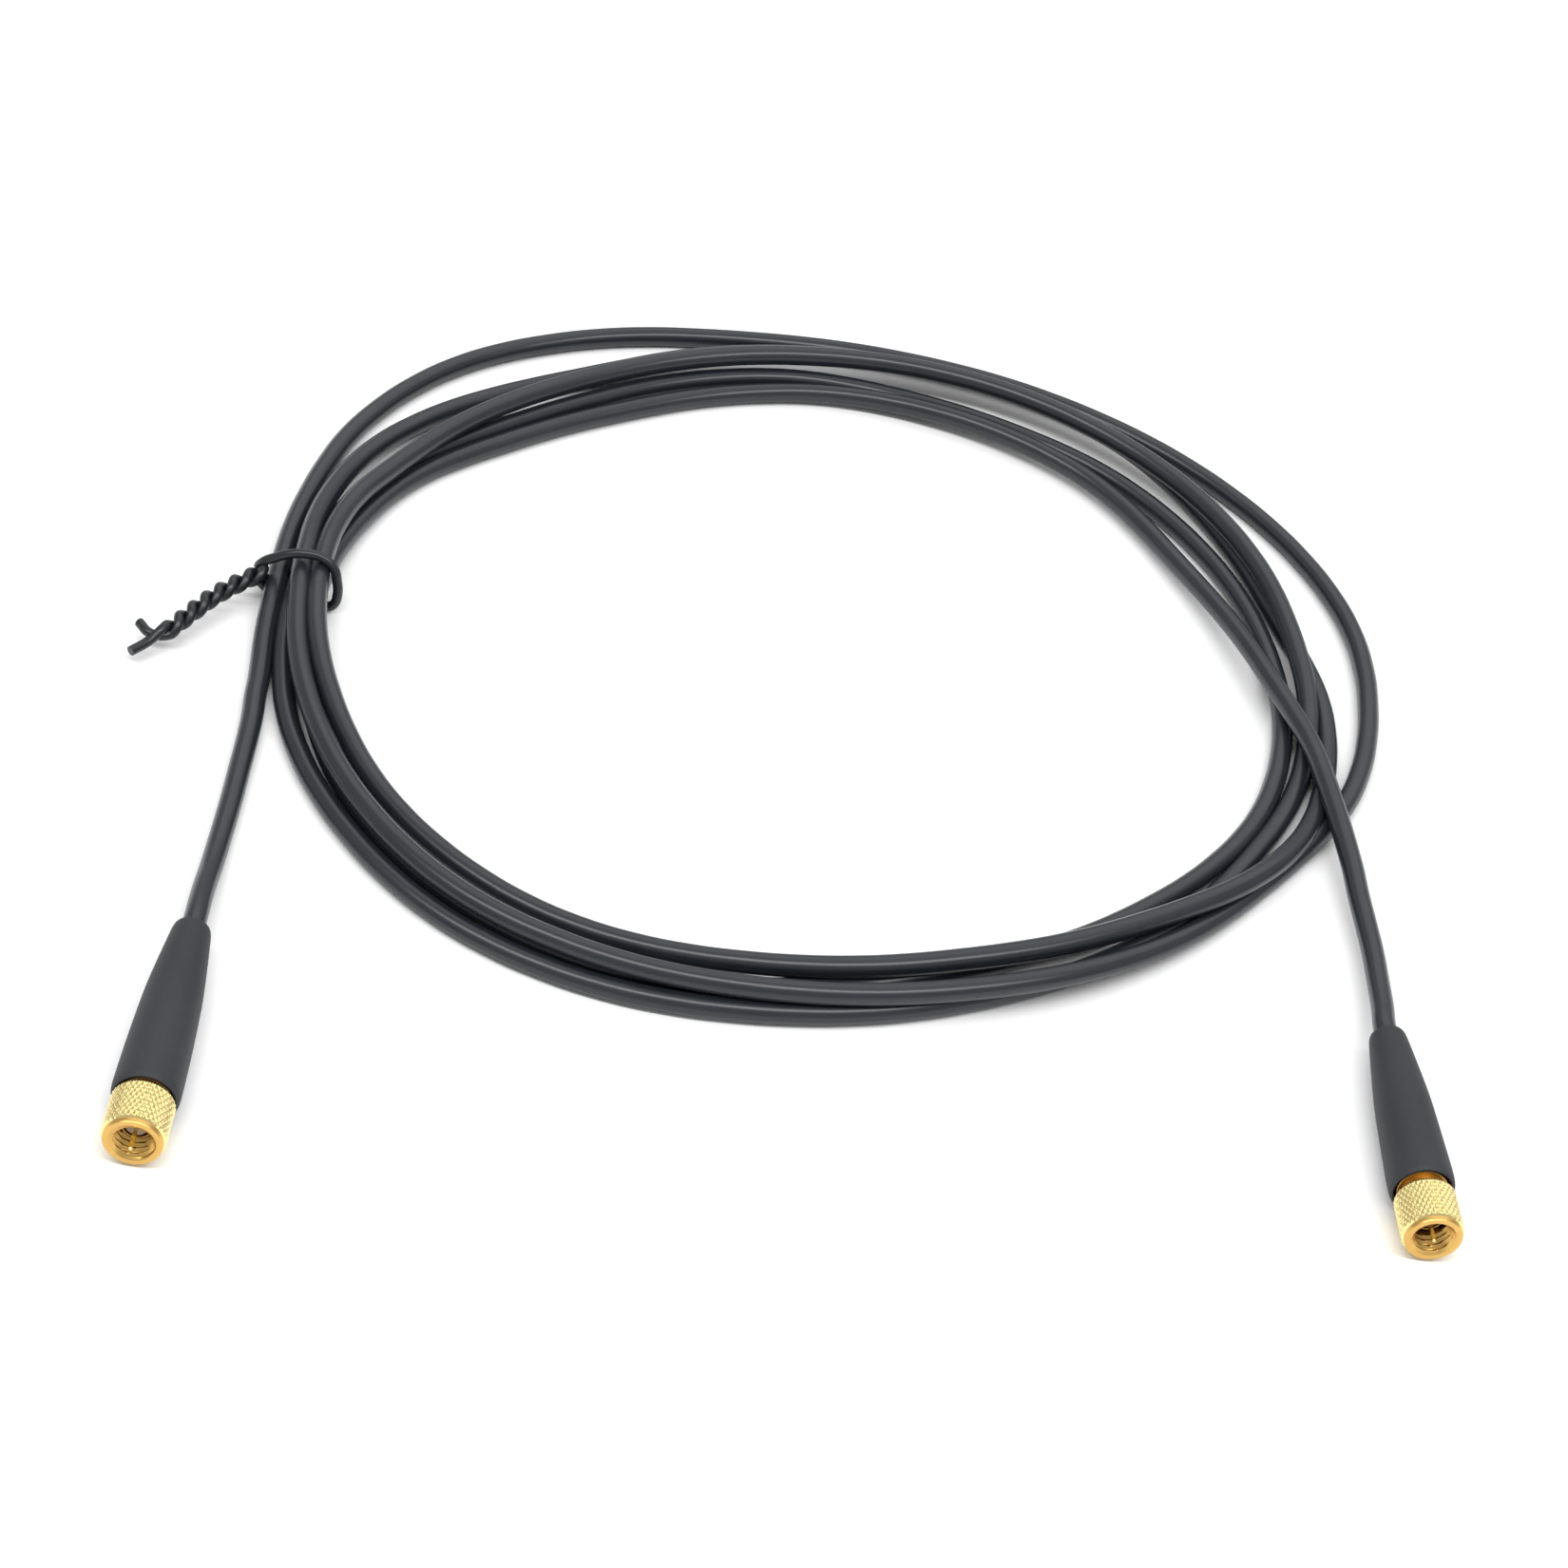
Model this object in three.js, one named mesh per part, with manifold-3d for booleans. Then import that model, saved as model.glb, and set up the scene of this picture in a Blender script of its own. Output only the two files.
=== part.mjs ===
// A miniature coaxial lead for an ultrasonic probe, wound into a flat coil, held by a twist tie,
// with a threaded plug on each end. Millimetres, +Z up. It lies on the floor at z = 0, and the
// origin is on the floor below the middle of its bounding box.
import * as THREE from "three";
import { mergeVertices } from "three/addons/utils/BufferGeometryUtils.js";
import Module from "manifold-3d";

const wasm = await Module();
wasm.setup();

// Fits: the space between pieces that seat on or in each other.
const clearance = 0.3;

// Cable.
const cableDiameter = 2.8;
const cableSides = 8;
const cableStep = 6;

// Coil: turns side by side on the floor, and one more that lies in the groove between two of them.
const coilOuterRadius = 73.2;
const turnsSideBySide = 4;
const turnPitch = 2.95;
const stackedAfterTurn = 2;
const coilSegments = 72;

// Twist tie: a coated wire round the bundle, its two legs twisted into a tail.
const tieWireDiameter = 1.1;
const tieAngle = 187;
const tiePinch = 1.5;
const tieTailDiameter = 2.1;
const tieTailStep = 3;
const tieSides = 8;

// Plug: everything behind the boot's front end is cable, ferrule and shoulder, and everything in
// front of it turns with, or shows inside, the coupling nut.
const bootMouthRadius = 2.1;
const bootRearRadius = 2.35;
const bootRearRound = 0.6;
const bootKinkRadius = 3.3;
const bootKinkAt = 10.5;
const bootWaistRadius = 3.65;
const bootWaistAt = 17;
const bootFrontRadius = 3.9;
const ferruleRadius = 2.3;
const ferruleWall = 0.35;
const ferruleLength = 7.7;
const stemInset = 2;
const shoulderRadius = 3.0;
const shoulderLength = 9.0;
const stemRadius = 1.65;
const neckRadius = 2.2;
const retainerRadius = 2.7;
const retainerAt = 2.5;
const retainerLength = 0.7;
const barrelRadius = 1.8;
const barrelFront = 4.3;
const insulatorRadius = 1.2;
const insulatorLength = 2.0;
const pinRadius = 0.25;
const pinTip = 7.7;
const plugSegments = 32;

// Coupling nut: a 10-32 thread inside, a grip outside.
const nutRadius = 3.65;
const nutLength = 6.4;
const nutChamfer = 0.35;
const nutRimRadius = 3.4;
const nutRimLength = 0.7;
const nutLip = 1.2;
const nutChamber = 2.2;
const nutChamberRadius = 3.0;
const threadRadius = 2.15;
const threadLeadIn = 0.3;

// Where the cable runs, chosen by eye to follow the real lead: x and y from the place where it
// leaves the side of the coil, and the height of its middle above the floor.
const leftLeadAngle = 202.5;
const leftLeadPoints = [
  [0, 0, 1.45],
  [0.35, -3.3, 1.45],
  [0.9, -7.0, 1.45],
  [1.4, -12.0, 1.45],
  [1.8, -17.5, 1.45],
  [2.2, -22.8, 1.45],
  [2.6, -30.0, 1.5],
  [2.95, -36.0, 2.0],
  [3.3, -41.8, 3.1],
];
const rightLeadAngle = -18.3;
const rightLeadPoints = [
  [0, 0, 3.45],
  [1.0, -5.3, 3.2],
  [2.0, -9.9, 3.0],
  [2.95, -14.9, 3.0],
  [3.7, -20.7, 3.2],
  [4.2, -25.7, 3.6],
];
const leftPlug = { side: "left", rear: [3.9, -49.1], heading: -86.5, bootLength: 27.8, nutSlide: 0.3 };
const rightPlug = { side: "right", rear: [4.7, -30.8], heading: -79.8, bootLength: 25.2, nutSlide: 1.0 };

// The tie's tail and its two ends, from where the tie stands out of the coil's side.
const tieTailPoints = [
  [-2.5, -3.7, 3.2],
  [-4.2, -6.2, 2.9],
  [-5.8, -9.1, 2.5],
  [-7.2, -12.0, 2.0],
  [-8.7, -15.3, 1.5],
  [-9.9, -17.5, 1.2],
];
const tieEndPoints = [
  [
    [-9.5, -16.7, 1.1],
    [-11.3, -17.7, 0.9],
    [-13.3, -16.3, 0.8],
  ],
  [
    [-9.5, -16.7, 1.1],
    [-11.2, -18.7, 0.8],
    [-12.9, -21.1, 0.7],
  ],
];

// Worked out from the sizes above.
const cableRadius = cableDiameter / 2;
const axisHeight = bootFrontRadius;
const tieRadius = tieWireDiameter / 2;

const colours = {
  jacket: { color: 0x1d1e21, roughness: 0.42, metalness: 0 },
  boot: { color: 0x2b2c30, roughness: 0.75, metalness: 0 },
  gold: { color: 0xd9b64a, roughness: 0.25, metalness: 1 },
  ptfe: { color: 0xe8e4da, roughness: 0.6, metalness: 0 },
  tie: { color: 0x17181a, roughness: 0.35, metalness: 0 },
};

function named(name, geometry, finish) {
  const mesh = new THREE.Mesh(geometry, new THREE.MeshStandardMaterial(finish));
  mesh.name = name;
  return mesh;
}

// A turned piece: points are [radius, height along its axis], outside upwards, inside downwards.
function turned(points, segments) {
  const closed = [...points, points[0]];
  return new THREE.LatheGeometry(closed.map(([r, y]) => new THREE.Vector2(r, y)), segments);
}

function smooth(points) {
  return new THREE.CatmullRomCurve3(points.map((p) => new THREE.Vector3(...p)));
}

// Straight between its points, so that it never swings out past them.
function bent(points) {
  return new THREE.CatmullRomCurve3(points.map((p) => new THREE.Vector3(...p)), false, "catmullrom", 0);
}

function tube(path, diameter, sides, step) {
  const corners = Array.from({ length: sides }, (_, i) => {
    const angle = ((i + 0.5) / sides) * 2 * Math.PI;
    return new THREE.Vector2(Math.cos(angle), Math.sin(angle)).multiplyScalar(diameter / 2);
  });
  const steps = Math.max(1, Math.round(path.getLength() / step));
  return new THREE.ExtrudeGeometry(new THREE.Shape(corners), { steps, extrudePath: path });
}

function toSolid(geometry) {
  const bare = geometry.clone();
  bare.deleteAttribute("normal");
  bare.deleteAttribute("uv");
  const merged = mergeVertices(bare, 1e-3);
  return new wasm.Manifold(
    new wasm.Mesh({
      numProp: 3,
      vertProperties: merged.attributes.position.array,
      triVerts: new Uint32Array(merged.index.array),
    }),
  );
}

function toGeometry(solid) {
  const mesh = solid.getMesh();
  const geometry = new THREE.BufferGeometry();
  geometry.setAttribute("position", new THREE.BufferAttribute(mesh.vertProperties, 3));
  geometry.setIndex(new THREE.BufferAttribute(mesh.triVerts, 1));
  geometry.computeVertexNormals();
  return geometry;
}

function polar(radius, degrees) {
  const angle = THREE.MathUtils.degToRad(degrees);
  return [radius * Math.cos(angle), radius * Math.sin(angle)];
}

// Points given from a place on the floor, with their own heights.
function from([startX, startY], points) {
  return points.map(([x, y, z]) => [startX + x, startY + y, z]);
}

function arc(centreR, centreZ, radius, fromDegrees, toDegrees, steps) {
  return Array.from({ length: steps + 1 }, (_, i) => {
    const angle = THREE.MathUtils.degToRad(fromDegrees + ((toDegrees - fromDegrees) * i) / steps);
    return [centreR + radius * Math.cos(angle), centreZ + radius * Math.sin(angle)];
  });
}

// The coil's section, which shows each turn as a round back on its top and its floor side.
const turnRadii = Array.from({ length: turnsSideBySide }, (_, i) => {
  return coilOuterRadius - cableRadius - (turnsSideBySide - 1 - i) * turnPitch;
});
const stackedRadius = turnRadii[stackedAfterTurn - 1] + turnPitch / 2;
const stackedHeight = cableRadius + Math.sqrt(cableDiameter ** 2 - (turnPitch / 2) ** 2);
const coilTop = stackedHeight + cableRadius;
const coilInnerRadius = turnRadii[0] - cableRadius;

function coilSection() {
  const points = [];
  turnRadii.forEach((radius, i) => {
    const last = i === turnsSideBySide - 1;
    points.push(...arc(radius, cableRadius, cableRadius, i === 0 ? 180 : 240, last ? 360 : 300, last ? 5 : 3));
  });
  for (let i = turnsSideBySide - 1; i >= 0; i -= 1) {
    const outermost = i === turnsSideBySide - 1;
    const underStacked = i === stackedAfterTurn;
    const from = outermost ? 20 : 60;
    const to = i === 0 ? 160 : underStacked ? 90 : 120;
    if (i === stackedAfterTurn - 1) {
      points.push(...arc(stackedRadius, stackedHeight, cableRadius, -35, 215, 7));
      points.push(...arc(turnRadii[i], cableRadius, cableRadius, 90, to, 2));
    } else {
      points.push(...arc(turnRadii[i], cableRadius, cableRadius, from, to, 4));
    }
  }
  return points;
}

// The tie's own place: x along the coil's radius, y along the turns, z up.
const tiePlace = new THREE.Matrix4().makeRotationZ(THREE.MathUtils.degToRad(tieAngle));
const pinchInner = coilInnerRadius + tiePinch;
const pinchOuter = coilOuterRadius - tiePinch;
const pinchFloor = tieWireDiameter + clearance;

function box(fromX, toX, fromZ, toZ, width) {
  const geometry = new THREE.BoxGeometry(toX - fromX, width, toZ - fromZ);
  geometry.translate((fromX + toX) / 2, 0, (fromZ + toZ) / 2);
  return geometry.applyMatrix4(tiePlace);
}

// The coil is pinched where the tie holds it: narrower, and raised off the floor by the wire.
function coil() {
  const ring = turned(coilSection(), coilSegments).rotateX(Math.PI / 2);
  const beyond = 5;
  const grooveWidth = tieWireDiameter + 2 * clearance;
  const cuts = [
    box(coilInnerRadius - beyond, pinchInner, -beyond, coilTop + beyond, grooveWidth),
    box(pinchOuter, coilOuterRadius + beyond, -beyond, coilTop + beyond, grooveWidth),
    box(coilInnerRadius - beyond, coilOuterRadius + beyond, -beyond, pinchFloor, grooveWidth),
  ];
  const solid = cuts.reduce((left, cut) => left.subtract(toSolid(cut)), toSolid(ring));
  return named("cable_coil", toGeometry(solid), colours.jacket);
}

function twistTie() {
  const away = clearance + tieRadius;
  const inner = pinchInner - away;
  const outer = pinchOuter + away;
  const under = tieRadius;
  const over = coilTop + away;
  const middle = (under + over) / 2;
  const bend = 1.2;
  const lap = tieRadius;
  const place = (points) => points.map(([x, z]) => new THREE.Vector3(x, 0, z).applyMatrix4(tiePlace).toArray());
  const lower = place([
    [inner, middle + lap],
    ...arc(inner + bend, under + bend, bend, 180, 270, 3),
    ...arc(outer - bend, under + bend, bend, 270, 360, 3),
    [outer, middle + lap],
  ]);
  const upper = place([
    [inner, middle - lap],
    ...arc(inner + bend, over - bend, bend, 180, 90, 3),
    ...arc(outer - bend, over - bend, bend, 90, 0, 3),
    [outer, middle - lap],
  ]);
  const root = place([[outer, middle]]);
  const tailStart = polar(coilOuterRadius, tieAngle);
  const pieces = [
    tube(bent(lower), tieWireDiameter, tieSides, tieWireDiameter),
    tube(bent(upper), tieWireDiameter, tieSides, tieWireDiameter),
    tube(smooth([...root, ...from(tailStart, tieTailPoints)]), tieTailDiameter, tieSides, tieTailStep),
    ...tieEndPoints.map((points) => {
      return tube(smooth(from(tailStart, points)), tieWireDiameter, tieSides, tieWireDiameter);
    }),
  ];
  const solid = pieces.map(toSolid).reduce((sum, piece) => sum.add(piece));
  return named("twist_tie", toGeometry(solid), colours.tie);
}

// One plug. Its own axis is +Y, from the boot's cable end at 0 towards the mating end.
function plug(start, { side, rear, heading, bootLength, nutSlide }) {
  const front = bootLength;
  const shoulderRear = front - shoulderLength;
  const ferruleRear = shoulderRear - clearance - ferruleLength;
  const bootBore = shoulderRadius + clearance;
  const ferruleBore = ferruleRadius + clearance;
  const socketRadius = insulatorRadius + clearance;
  const socketFloor = front + barrelFront - insulatorLength - clearance;
  const nutRear = front + nutSlide;
  const nutFront = nutRear + nutLength;
  const chamberFront = nutRear + nutLip + nutChamber;
  const group = new THREE.Group();
  group.add(
    named(
      `boot_${side}`,
      turned(
        [
          [cableRadius + clearance, 0],
          [bootMouthRadius, 0],
          [bootRearRadius, bootRearRound],
          [bootKinkRadius, bootKinkAt],
          [bootWaistRadius, bootWaistAt],
          [bootFrontRadius, front - 2],
          [bootFrontRadius, front],
          [bootBore, front],
          [bootBore, shoulderRear - clearance],
          [ferruleBore, shoulderRear - clearance],
          [ferruleBore, ferruleRear - clearance],
          [cableRadius + clearance, ferruleRear - clearance],
        ],
        plugSegments,
      ),
      colours.boot,
    ),
    named(
      `crimp_ferrule_${side}`,
      turned(
        [
          [ferruleRadius - ferruleWall, ferruleRear],
          [ferruleRadius, ferruleRear],
          [ferruleRadius, ferruleRear + ferruleLength],
          [ferruleRadius - ferruleWall, ferruleRear + ferruleLength],
        ],
        plugSegments,
      ),
      colours.gold,
    ),
    named(
      `plug_body_${side}`,
      turned(
        [
          [0, ferruleRear + stemInset],
          [stemRadius, ferruleRear + stemInset],
          [stemRadius, shoulderRear],
          [shoulderRadius, shoulderRear],
          [shoulderRadius, front - clearance],
          [neckRadius, front - clearance],
          [neckRadius, front + retainerAt],
          [retainerRadius, front + retainerAt],
          [retainerRadius, front + retainerAt + retainerLength],
          [barrelRadius, front + retainerAt + retainerLength],
          [barrelRadius, front + barrelFront],
          [socketRadius, front + barrelFront],
          [socketRadius, socketFloor],
          [0, socketFloor],
        ],
        plugSegments,
      ),
      colours.gold,
    ),
    named(
      `insulator_${side}`,
      turned(
        [
          [pinRadius + clearance, socketFloor + clearance],
          [insulatorRadius, socketFloor + clearance],
          [insulatorRadius, socketFloor + clearance + insulatorLength],
          [pinRadius + clearance, socketFloor + clearance + insulatorLength],
        ],
        plugSegments,
      ),
      colours.ptfe,
    ),
    named(
      `centre_pin_${side}`,
      turned(
        [
          [0, socketFloor + clearance],
          [pinRadius, socketFloor + clearance],
          [pinRadius, front + pinTip - pinRadius],
          [pinRadius / 2, front + pinTip],
          [0, front + pinTip],
        ],
        12,
      ),
      colours.gold,
    ),
    named(
      `coupling_nut_${side}`,
      turned(
        [
          [neckRadius + clearance, nutRear],
          [nutRadius - nutChamfer, nutRear],
          [nutRadius, nutRear + nutChamfer],
          [nutRadius, nutFront - nutRimLength],
          [nutRimRadius, nutFront - nutRimLength],
          [nutRimRadius, nutFront],
          [threadRadius + threadLeadIn, nutFront],
          [threadRadius, nutFront - threadLeadIn],
          [threadRadius, chamberFront],
          [nutChamberRadius, chamberFront],
          [nutChamberRadius, nutRear + nutLip],
          [neckRadius + clearance, nutRear + nutLip],
        ],
        plugSegments,
      ),
      colours.gold,
    ),
  );
  group.position.set(start[0] + rear[0], start[1] + rear[1], axisHeight);
  group.rotation.z = THREE.MathUtils.degToRad(heading - 90);
  return group;
}

// The cable goes straight into the boot as far as the stem that it is crimped to.
function leadTube(start, points, { side, rear, heading, bootLength }) {
  const place = (distance) => {
    const [x, y] = polar(distance, heading);
    return [rear[0] + x, rear[1] + y, axisHeight];
  };
  const depth = bootLength - shoulderLength - clearance - ferruleLength + stemInset - clearance;
  const route = from(start, [...points, place(-2), place(2), place(depth)]);
  return named(`cable_lead_${side}`, tube(smooth(route), cableDiameter, cableSides, cableStep), colours.jacket);
}

// The left lead leaves the coil's side on the floor, the right one over its outermost turn.
const leftStart = polar(coilOuterRadius + clearance + cableRadius, leftLeadAngle);
const rightRise = rightLeadPoints[0][2] - cableRadius;
const overOutermost = Math.sqrt((cableDiameter + clearance) ** 2 - rightRise ** 2);
const rightStart = polar(coilOuterRadius - cableRadius + overOutermost, rightLeadAngle);

const layout = new THREE.Group();
layout.add(
  coil(),
  leadTube(leftStart, leftLeadPoints, leftPlug),
  leadTube(rightStart, rightLeadPoints, rightPlug),
  twistTie(),
  plug(leftStart, leftPlug),
  plug(rightStart, rightPlug),
);

// The origin goes below the middle of the bounding box.
layout.updateMatrixWorld(true);
const middle = new THREE.Box3().setFromObject(layout, true).getCenter(new THREE.Vector3());
layout.position.set(-middle.x, -middle.y, 0);

const lead = new THREE.Group();
lead.add(layout);
export default lead;
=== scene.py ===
from math import acos, cos, pi, radians, sin, sqrt

import bmesh
import bpy
from bpy.props import FloatProperty, FloatVectorProperty, IntProperty, PointerProperty
from mathutils import Matrix, Vector


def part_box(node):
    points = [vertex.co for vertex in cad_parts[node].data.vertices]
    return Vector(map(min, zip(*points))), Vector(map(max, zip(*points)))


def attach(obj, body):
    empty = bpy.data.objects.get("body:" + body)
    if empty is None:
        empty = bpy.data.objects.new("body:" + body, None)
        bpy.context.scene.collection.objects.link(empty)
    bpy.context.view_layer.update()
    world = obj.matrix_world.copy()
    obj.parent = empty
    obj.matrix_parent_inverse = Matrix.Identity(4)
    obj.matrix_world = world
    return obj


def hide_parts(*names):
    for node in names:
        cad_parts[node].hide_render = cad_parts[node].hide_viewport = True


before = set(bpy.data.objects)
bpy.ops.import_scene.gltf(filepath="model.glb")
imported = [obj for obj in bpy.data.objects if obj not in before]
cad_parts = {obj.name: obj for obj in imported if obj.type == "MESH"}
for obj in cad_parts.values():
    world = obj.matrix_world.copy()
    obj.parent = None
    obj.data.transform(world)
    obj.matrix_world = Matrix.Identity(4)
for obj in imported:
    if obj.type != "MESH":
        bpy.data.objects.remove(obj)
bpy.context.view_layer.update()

bl_info = {
    "name": "Ultrasonic probe cable coil",
    "version": (1, 0, 0),
    "blender": (4, 5, 0),
    "location": "View3D > Sidebar > Probe cable",
    "description": "Dresses a coiled coaxial probe lead: cable, boots, threaded plugs and twist tie",
    "category": "Object",
}

MM = 0.001
COIL_LOW, COIL_HIGH = (Vector(corner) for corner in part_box("cable_coil"))
COIL_MIDDLE = Vector(((COIL_LOW.x + COIL_HIGH.x) / 2, (COIL_LOW.y + COIL_HIGH.y) / 2, 0))

# The photograph's view: the camera looks at a spot on the floor just left of and before the coil's
# middle, and is rolled a little.
VIEW_SPOT = COIL_MIDDLE + Vector((-1.95, -26.2, 0)) * MM
VIEW_DISTANCE = 480 * MM
VIEW_ELEVATION = radians(40.16)
VIEW_ROLL = radians(11.73)
VIEW_LENS = 87.27
SENSOR_WIDTH = 36

# The tie's place on the coil, in degrees counter-clockwise from +X.
TIE_ANGLE = 187

# The turns. Each pass round the coil starts at the tie and goes clockwise, seen from above. A place
# on it is degrees past the tie, radius, and height of the cable's middle, in millimetres.
TURNS = (
    (  # outermost along the back and the right, then over the third and fourth passes at the front
        (0, 72.0, 2.5), (16, 72.6, 2.0), (30, 74.6, 1.45), (46, 75.3, 1.45), (62, 73.5, 1.45),
        (80, 70.9, 1.45), (98, 71.0, 1.45), (116, 72.6, 1.45), (134, 74.4, 1.45), (152, 75.6, 1.45),
        (165, 75.4, 1.45), (178, 73.4, 1.45), (193, 70.7, 1.45), (204, 67.6, 1.45), (214, 65.7, 1.45),
        (230, 65.2, 2.5), (244, 65.5, 3.8), (257, 66.0, 4.2), (274, 67.9, 4.2), (293, 71.1, 4.2),
        (308, 72.6, 4.2), (325, 71.8, 4.25), (342, 70.2, 4.6),
    ),
    (  # under the next pass at the back, then over two passes to lie innermost at the front
        (0, 68.9, 5.2), (12, 69.3, 4.0), (25, 69.4, 2.6), (38, 68.3, 1.45), (49, 66.2, 1.45),
        (60, 65.0, 1.7), (75, 65.6, 2.4), (87, 66.0, 3.0), (100, 67.5, 3.0), (114, 68.8, 3.0),
        (128, 69.2, 2.7), (139, 68.3, 1.8), (150, 66.7, 1.45), (163, 65.4, 1.45), (177, 66.8, 1.45),
        (190, 67.1, 1.6), (202, 66.9, 2.6), (214, 65.6, 4.2), (229, 62.3, 4.25), (243, 61.0, 4.25),
        (256, 61.0, 4.2), (274, 62.9, 3.6), (295, 65.6, 1.9), (308, 66.7, 1.45), (325, 67.5, 2.2),
        (342, 67.4, 4.5),
    ),
    (  # on top at the tie and along the back, then down on the floor and outermost at the front
        (0, 66.6, 5.5), (13, 65.7, 4.8), (24, 63.8, 4.3), (36, 62.6, 4.25), (50, 61.6, 4.25),
        (62, 61.7, 4.3), (73, 62.4, 4.4), (87, 63.6, 4.55), (100, 65.2, 4.55), (114, 66.5, 4.55),
        (128, 67.0, 4.5), (142, 66.8, 4.4), (155, 65.9, 4.25), (167, 64.6, 4.2), (178, 64.6, 2.9),
        (190, 64.1, 1.45), (202, 63.0, 1.45), (210, 62.4, 1.45), (228, 62.7, 1.45), (243, 63.7, 1.45),
        (256, 65.3, 1.45), (274, 68.8, 1.45), (293, 73.2, 1.45), (308, 75.0, 1.45), (325, 74.3, 1.45),
        (338, 73.0, 1.45), (348, 71.2, 1.8),
    ),
    (  # on the floor all the way, from the inside at the right to the middle at the front left
        (0, 69.3, 2.45), (20, 66.1, 1.6), (40, 61.3, 1.45), (54, 60.0, 1.45), (68, 60.8, 1.45),
        (85, 62.0, 1.45), (100, 61.6, 1.45), (115, 61.9, 1.45), (130, 62.8, 1.45), (150, 62.4, 1.45),
        (168, 61.6, 1.45), (185, 61.1, 1.45), (202, 60.4, 1.45), (215, 59.3, 1.45), (228, 58.5, 1.45),
        (243, 58.9, 1.45), (256, 60.2, 1.45), (265, 62.3, 1.45), (274, 64.7, 1.45), (293, 70.1, 1.45),
        (308, 71.7, 1.45), (325, 71.2, 1.45), (342, 69.0, 1.7),
    ),
    (  # innermost along the back, then out over every other turn to the right plug
        (0, 66.5, 2.5), (11, 64.8, 1.9), (24, 62.5, 1.45), (38, 58.6, 1.45), (48, 57.0, 1.45),
        (60, 56.3, 1.45), (75, 57.4, 1.45), (90, 58.8, 1.7), (106, 58.9, 2.4), (118, 59.0, 2.5),
        (130, 58.8, 2.3), (142, 57.4, 2.2), (150, 56.6, 2.4), (160, 56.8, 3.0), (171, 58.0, 4.0),
        (180, 60.3, 4.4), (187, 63.6, 4.4), (194, 66.7, 4.4), (200.6, 70.6, 4.2),
    ),
)
# Where the first pass comes from: the left lead joins the coil just before the tie.
RUN_IN = (-9, 73.3, 1.8)
COIL_STEP = 6
LOWEST = 1.43  # the cable's middle is never lower

# The free stretches, repeated from the part's source: x and y from the place where each leaves the
# side of the coil, and the height of the cable's middle, in millimetres.
LEFT_LEAD = (
    (0, 0, 1.45), (0.35, -3.3, 1.45), (0.9, -7.0, 1.45), (1.4, -12.0, 1.45), (1.8, -17.5, 1.45),
    (2.2, -22.8, 1.45), (2.6, -30.0, 1.5), (2.95, -36.0, 2.0), (3.3, -41.8, 3.1),
)
RIGHT_LEAD = (
    (0, 0, 3.45), (1.0, -5.3, 3.2), (2.0, -9.9, 3.0), (2.95, -14.9, 3.0), (3.7, -20.7, 3.2),
    (4.2, -25.7, 3.6),
)
# Each plug: where its lead leaves the coil (radius, degrees), the boot's cable end from there, the
# heading of its axis, the boot's length, and how far the nut has slid forward of the boot.
PLUGS = {
    "left": {
        "start": (74.9, 202.5), "rear": (3.9, -49.1), "heading": -86.5, "boot": 27.8, "slide": 0.3,
    },
    "right": {
        "start": (74.125, -18.3), "rear": (4.7, -30.8), "heading": -79.8, "boot": 25.2, "slide": 1.0,
    },
}
AXIS_HEIGHT = 3.9
AXIS_REACH = 2  # the cable is straight this far before and after the boot's mouth

# The coupling nut, in millimetres: its length, the plain rim in front of the knurling, and the thread,
# which starts this far from the nut's back edge.
NUT_LENGTH = 6.4
NUT_RIM = 0.7
NUT_NECK_RADIUS = 2.5
CHAMBER_RADIUS = 3.0
RIM_RADIUS = 3.36
THREAD_FROM = 3.4
THREAD_RADIUS = 2.5
THREAD_DEPTH = 0.36
KNURL_HELIX = 30  # degrees
STEPS_PER_KNURL = 8
SAME_RADIUS = 0.02  # points this near a radius belong to it

# The plug's core, in millimetres. Heights are from the boot's front edge.
STEM_RADIUS = 1.65
SHOULDER_RADIUS = 3.0
NECK_RADIUS = 2.2
RETAINER_RADIUS = 2.7
BARREL_RADIUS = 1.8
BARREL_BORE = 1.5
BARREL_END = 4.3
INSULATOR_BACK = 2.3
PIN_RADIUS = 0.25
PIN_DOME = 7.35
PIN_END = 7.7

# The tie's twisted tail, from the coil's side at the tie, and its two loose ends.
TIE_TAIL_RADIUS = 73.2
TIE_TAIL = (
    (-0.5, -1.2, 3.6), (-2.5, -3.5, 3.5), (-4.2, -5.9, 3.5), (-5.8, -8.6, 3.4), (-7.2, -11.4, 3.2),
    (-8.7, -14.5, 2.9), (-9.3, -15.6, 2.8),
)
TIE_TIPS = (
    ((-11.2, -16.6, 2.5), (-13.2, -15.0, 2.6)),
    ((-11.1, -17.7, 2.3), (-12.9, -20.2, 2.0)),
)


# The colour sockets of a Mix node, which share their names with its other sockets.
MIX_COLOUR_A, MIX_COLOUR_B, MIX_COLOUR_OUT = 6, 7, 2

WORLD_STRENGTH = 0.55
FLOOR_TONES = ((0.93, 0.93, 0.93), (0.95, 0.95, 0.95))


# Shapes

def polar(radius, degrees):
    return Vector((radius * cos(radians(degrees)), radius * sin(radians(degrees)), 0))


def hermite(a, b, slope_a, slope_b, width, t):
    return (
        a * (2 * t**3 - 3 * t**2 + 1)
        + slope_a * width * (t**3 - 2 * t**2 + t)
        + b * (3 * t**2 - 2 * t**3)
        + slope_b * width * (t**3 - t**2)
    )


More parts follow.
